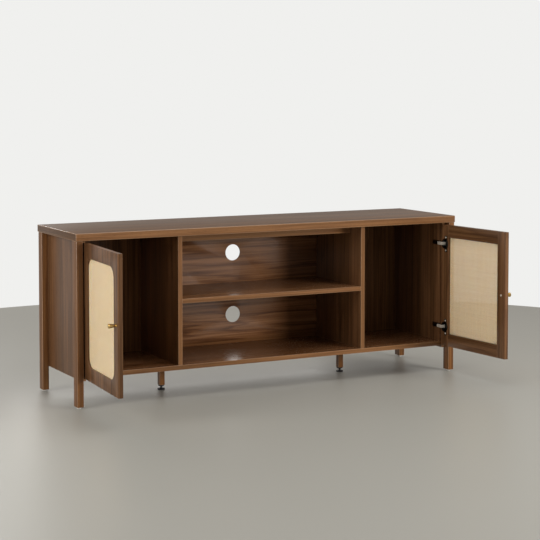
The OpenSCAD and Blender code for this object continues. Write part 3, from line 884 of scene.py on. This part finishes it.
# %% [markdown]
# ## Woven cane
#
# The cane is a plain weave of flat strands split from rattan, each passing over one and under the
# next. A pattern of bumps would look woven from the front only, and the light would not come
# through. So every strand is real: one strand is a strip whose rows of points are moved up and
# down in turn, a second is its opposite, and arrays repeat the pair across the window. Threads at
# right angles do the same half a step later, so that they pass each other. The strands are drawn
# 2.3 mm wide and 3.5 mm apart, as coarse as the weave has to be to show at this distance.

# %% Make the cane finish
def cane(name, grain, turn):
    """Split rattan: pale straw, with darker flecks and a slight waxy sheen along each strand."""
    material, tree, shader = new_material(name)
    strand = pattern(tree, grain, 160 * MM, 3.1 * MM, turn, Detail=3.0, Roughness=0.6)
    fibre = pattern(tree, grain, 14 * MM, 0.35 * MM, turn, Detail=2.0)
    straw = add_node(tree, "ShaderNodeValToRGB", {"Fac": strand}, [
        (0.28, "#dfc097"), (0.5, "#eacfa9"), (0.72, "#f1dabb")])
    fleck = add_node(tree, "ShaderNodeValToRGB", {"Fac": fibre}, [
        (0.28, "#b89a78"), (0.42, "#ffffff")])
    tint = add_node(tree, "ShaderNodeMix", {
        0: 0.6, 6: straw.outputs["Color"], 7: fleck.outputs["Color"]}, **MULTIPLY)
    tree.links.new(tint.outputs[2], shader.inputs["Base Color"])
    shader.inputs["Roughness"].default_value = 0.5
    shader.inputs["Subsurface Weight"].default_value = 0.6
    shader.inputs["Subsurface Radius"].default_value = (1.0, 0.7, 0.4)
    shader.inputs["Subsurface Scale"].default_value = 1.0 * MM
    ridge = add_node(tree, "ShaderNodeBump", {
        "Height": fibre, "Strength": 0.3, "Distance": 0.06 * MM})
    tree.links.new(ridge.outputs[0], shader.inputs["Normal"])
    return material


cane_upright = cane("split_rattan_upright", "Z", 0.0)
cane_across = {side: cane(f"split_rattan_across_{side}", "X", opened[side]) for side in SIDES}
print("cane finish made")

# %% Weave the cane panels
CANE_PITCH = 3.5 * MM
CANE_WIDTH = 2.3 * MM
CANE_THICK = 0.36 * MM
CANE_LIFT = 0.22 * MM
CANE_TUCK = 2 * MM
CANE_BEHIND = 0.5 * MM


def strand_set(name, length, width, over_first):
    """Strands along local Y, one pitch apart over a width, centred on the plane z = 0."""
    rows = round(length / CANE_PITCH)
    columns = round(width / CANE_PITCH)
    strands = []
    for k in (0, 1):
        bpy.ops.object.select_all(action="DESELECT")
        bpy.ops.mesh.primitive_grid_add(x_subdivisions=1, y_subdivisions=rows, size=1)
        strand = bpy.context.object
        strand.scale = (CANE_WIDTH, rows * CANE_PITCH, 1)
        bpy.ops.object.transform_apply(location=False, rotation=False, scale=True)
        lift = CANE_LIFT if (k == 0) == over_first else -CANE_LIFT
        for vertex in strand.data.vertices:
            row = round((vertex.co.y + rows * CANE_PITCH / 2) / CANE_PITCH)
            vertex.co.z = lift if row % 2 == 0 else -lift
            vertex.co.x += k * CANE_PITCH
        strands.append(strand)
    piece = joined(name, strands)
    apply_modifier(piece, "SOLIDIFY", thickness=CANE_THICK, offset=0)
    apply_modifier(piece, "ARRAY", count=(columns + 2) // 2, use_relative_offset=False,
                   use_constant_offset=True, constant_offset_displace=(2 * CANE_PITCH, 0, 0))
    low, high = corners(piece)
    piece.data.transform(Matrix.Translation(-(low + high) / 2))
    return smooth(piece, 60)


for side in SIDES:
    low, high = doors[side]["window"]
    centre = (low + high) / 2
    panel_back = doors[side]["panel"][1].y
    centre.y = panel_back + CANE_BEHIND
    tall, wide = high.z - low.z + 2 * CANE_TUCK, high.x - low.x + 2 * CANE_TUCK
    upright = strand_set(f"{side}_door_cane_upright", tall, wide, True)
    upright_place = Matrix.Translation(centre) @ Matrix.Rotation(math.pi / 2, 4, "X")
    upright.data.transform(upright_place)
    upright.data.materials.append(cane_upright)
    across = strand_set(f"{side}_door_cane_across", wide, tall, False)
    across.data.transform(upright_place @ Matrix.Rotation(math.pi / 2, 4, "Z"))
    across.data.materials.append(cane_across[side])
    for piece in (upright, across):
        swung_open(piece, side)
    finish_piece(upright, side + "_door", "woven_cane", side + "_door_cane")
    finish_piece(across, side + "_door", "woven_cane")
    print(side, "cane:", len(upright.data.polygons) + len(across.data.polygons), "faces")

# %% [markdown]
# ## Knobs
#
# A knob is a small brass cone, wider at its outer end, with a turned lip and a faintly dished face.
# It is one outline turned about its axis. Behind the door, a screw holds it.

# %% Turn the knobs
for side in SIDES:
    low, high = shut_box(side, side + "_door_knob")
    radius, length = (high.x - low.x) / 2, high.y - low.y
    outline = [
        (0, 0), (6 * MM, 0), (6 * MM, 1.1 * MM), (5.6 * MM, 1.5 * MM), (5.0 * MM, 1.8 * MM),
        (5.05 * MM, 3 * MM), (5.5 * MM, 8 * MM), (6.4 * MM, 15 * MM), (7.5 * MM, 21 * MM),
        (radius - 0.15 * MM, length - 2.2 * MM), (radius, length - 1.6 * MM),
        (radius, length - 0.7 * MM), (radius - 0.7 * MM, length),
        (radius - 1.4 * MM, length - 0.1 * MM), (radius - 2.0 * MM, length - 0.6 * MM),
        (0, length - 0.9 * MM)]
    piece = turned(f"{side}_door_turned_knob", outline, 56)
    placed(piece, ((low.x + high.x) / 2, high.y, (low.z + high.z) / 2), (0, -1, 0))
    piece.data.materials.append(brass)
    finish_piece(swung_open(piece, side), side + "_door", "brass_knob", side + "_door_knob")
print("knobs", round(length / MM, 1), "mm long")

# %% [markdown]
# ## Screws and caps
#
# A cross-head screw has a domed head with a cross recess, which is cut by two thin blocks. One
# screw is made for each size, and copies go wherever the fixed model has a screw.

# %% Make the screws
HEAD_HEIGHT = 1.5 * MM
KNOB_HEAD_HEIGHT = 2 * MM


def screw(radius, crown, length):
    """A cross-head screw along +Z: underside of the head at z = 0, the shank below it."""
    shank = radius * 0.5
    outline = [
        (0, -length), (shank * 0.4, -length + 2 * shank), (shank, -length + 4 * shank), (shank, 0),
        (radius, 0), (radius, crown * 0.35), (radius * 0.86, crown * 0.72),
        (radius * 0.55, crown * 0.95), (0, crown)]
    piece = turned("screw", outline, 24)
    for wide, deep in ((radius * 1.1, radius * 0.24), (radius * 0.24, radius * 1.1)):
        recess_low = (-wide / 2, -deep / 2, crown * 0.25)
        cutter = block("recess", recess_low, (wide / 2, deep / 2, crown * 2))
        cut(piece, cutter)
    return smooth(piece)


# unless told otherwise, a screw gets the pale nickel, a painted highlight
def screws_at(name, node, axis, side=None, finish=highlight_nickel, height=HEAD_HEIGHT):
    """A screw in place of every solid of a CAD node, with its head at the end axis points to."""
    line = Vector(axis)
    way = max(range(3), key=lambda i: abs(line[i]))
    across = 0 if way else 1
    pieces = []
    master = None
    for low, high in solids(node, swing[side].inverted() if side else Matrix()):
        size = high - low
        if master is None:
            master = screw(size[across] / 2, height, size[way] - height)
            master.data.materials.append(finish)
        place = (low + high) / 2
        place[way] = (high[way] if line[way] > 0 else low[way]) - line[way] * height
        pieces.append(placed(twin(master, "screw"), place, axis))
    bpy.data.objects.remove(master)
    return joined(name, pieces)


for side in SIDES:
    door = side + "_door"
    piece = screws_at(f"{side}_cup_screw_set", f"{side}_hinge_cup_screws", (0, 1, 0), side)
    finish_piece(swung_open(piece, side), door, "nickel_plated_steel", f"{side}_hinge_cup_screws")
    piece = screws_at(
        f"{door}_knob_fixing", f"{door}_knob_screw", (0, 1, 0), side, height=KNOB_HEAD_HEIGHT)
    finish_piece(swung_open(piece, side), door, "zinc_plated_steel", f"{door}_knob_screw")
    inwards = (1, 0, 0) if side == "left" else (-1, 0, 0)
    piece = screws_at(f"{side}_plate_screw_set", f"{side}_hinge_plate_screws", inwards)
    finish_piece(piece, "carcass", "nickel_plated_steel", f"{side}_hinge_plate_screws")
piece = screws_at("back_screw_set", "back_panel_screws", (0, 1, 0), finish=zinc)
finish_piece(piece, "carcass", "zinc_plated_steel", "back_panel_screws")
print("screws made")

# %% [markdown]
# The stand's own fixings show only as covers. Brown plastic caps sit over the leg screws inside the
# cupboards and over the screws that go up through the bottom board, and walnut-printed stickers
# over the cam locks. Each goes on the board face that its fixing opens to. The screws that go down
# into the middle legs have none.

# %% Make the caps and covers
STICKER = (9.5 * MM, 0.35 * MM)  # radius and height
CAP = (6.5 * MM, 1.2 * MM)
BELOW_BOTTOM = 5 * MM  # a screw that reaches further down goes into a middle leg


def cover(size, material):
    """A thin domed disc, standing on z = 0."""
    radius, height = size
    piece = turned("cover", [
        (0, 0), (radius, 0), (radius, height * 0.45), (radius * 0.9, height * 0.85),
        (radius * 0.6, height), (0, height)], 28)
    piece.data.materials.append(material)
    return piece


wall_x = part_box("right_side_panel")[0].x
divider_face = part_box("right_divider")[1].x
bottom_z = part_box("bottom_panel")[0].z
stickers, caps = [], []
for low, high in solids("cam_locks"):
    place, size = (low + high) / 2, high - low
    hand = math.copysign(1, place.x)
    if size.z < size.x:
        place.z = low.z
        axis = (0, 0, -1)
    elif abs(place.x) > divider_face:
        place.x = hand * wall_x
        axis = (-hand, 0, 0)
    else:
        place.x = hand * divider_face
        axis = (hand, 0, 0)
    stickers.append(placed(cover(STICKER, foil_upright), place, axis))
for low, high in solids("panel_screws"):
    place, size = (low + high) / 2, high - low
    hand = math.copysign(1, place.x)
    if size.x > size.z:
        place.x = hand * wall_x
        caps.append(placed(cover(CAP, brown_cap), place, (-hand, 0, 0)))
    elif low.z > bottom_z - BELOW_BOTTOM:
        place.z = low.z
        caps.append(placed(cover(CAP, brown_cap), place, (0, 0, -1)))
finish_piece(joined("cam_cover_set", stickers), "carcass", FOIL_SLOT, "cam_locks")
finish_piece(joined("screw_cap_set", caps), "carcass", FOIL_SLOT, "panel_screws")
print(len(stickers), "covers and", len(caps), "caps")

# %% [markdown]
# ## Hinges
#
# A concealed hinge has a drawn cup let into the door and a stamped arm on a plate that is screwed
# to the side. Their shapes are right in the fixed model, but their edges are sharp. Each piece is a
# merged copy of its node with a fine bevel along its edges, as stamping and plating leave them. The
# arm is split by a bisect cut: its front half gets the pale nickel, a painted highlight, and its rear
# half, like the cups and plates, the dark nickel, a painted shade.

# %% Round the hinge parts
STAMPED_ROUND = 0.3 * MM
ARM_HIGHLIGHT_SHARE = 0.5  # share of the arm that gets the pale painted highlight, from its front end
for side in SIDES:
    for level in ("upper", "lower"):
        for part, body in (("cup", side + "_door"), ("arm", "carcass"), ("plate", "carcass")):
            node = f"{side}_{level}_hinge_{part}"
            piece = mesh_copy(node)
            piece.name = piece.data.name = node + "_plated"
            apply_modifier(piece, "BEVEL", width=STAMPED_ROUND, segments=2, limit_method="ANGLE",
                           angle_limit=math.radians(40), use_clamp_overlap=True)
            piece.data.materials.clear()
            piece.data.materials.append(shade_nickel)
            # the arm's front half gets the painted highlight, its rear half the painted shade
            if part == "arm":
                piece.data.materials.append(highlight_nickel)
                low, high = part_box(node)
                split = low.y + ARM_HIGHLIGHT_SHARE * (high.y - low.y)
                only(piece)
                bpy.ops.object.mode_set(mode="EDIT")
                bpy.ops.mesh.select_all(action="SELECT")
                bpy.ops.mesh.bisect(plane_co=(0, split, 0), plane_no=(0, 1, 0))
                bpy.ops.object.mode_set(mode="OBJECT")
                for face in piece.data.polygons:
                    face.material_index = int(face.center.y < split)
            smooth(piece, 40)
            finish_piece(piece, body, "nickel_plated_steel", node)
print("hinge parts rounded")

# %% [markdown]
# ## Hidden fixings
#
# The cam bolts, hinge pins and dowels keep their CAD shapes, and get their real finishes: zinc
# plate on the steel, and fine straight grain on the beech.

# %% Finish the hidden fixings
beech, tree, shader = new_material("fluted_beech")
flutes = pattern(tree, "Z", 9 * MM, 0.8 * MM, Detail=3.0)
tint = add_node(tree, "ShaderNodeValToRGB", {"Fac": flutes}, [(0.3, "#b58f61"), (0.7, "#d6b588")])
tree.links.new(tint.outputs["Color"], shader.inputs["Base Color"])
shader.inputs["Roughness"].default_value = 0.6
plain_nodes = {
    "cam_bolts": zinc, "wooden_dowels": beech, "left_hinge_pins": zinc, "right_hinge_pins": zinc}
for node, material in plain_nodes.items():
    for slot in frame["nodes"][node].material_slots:
        slot.material = material
print(len(plain_nodes), "hidden nodes finished")
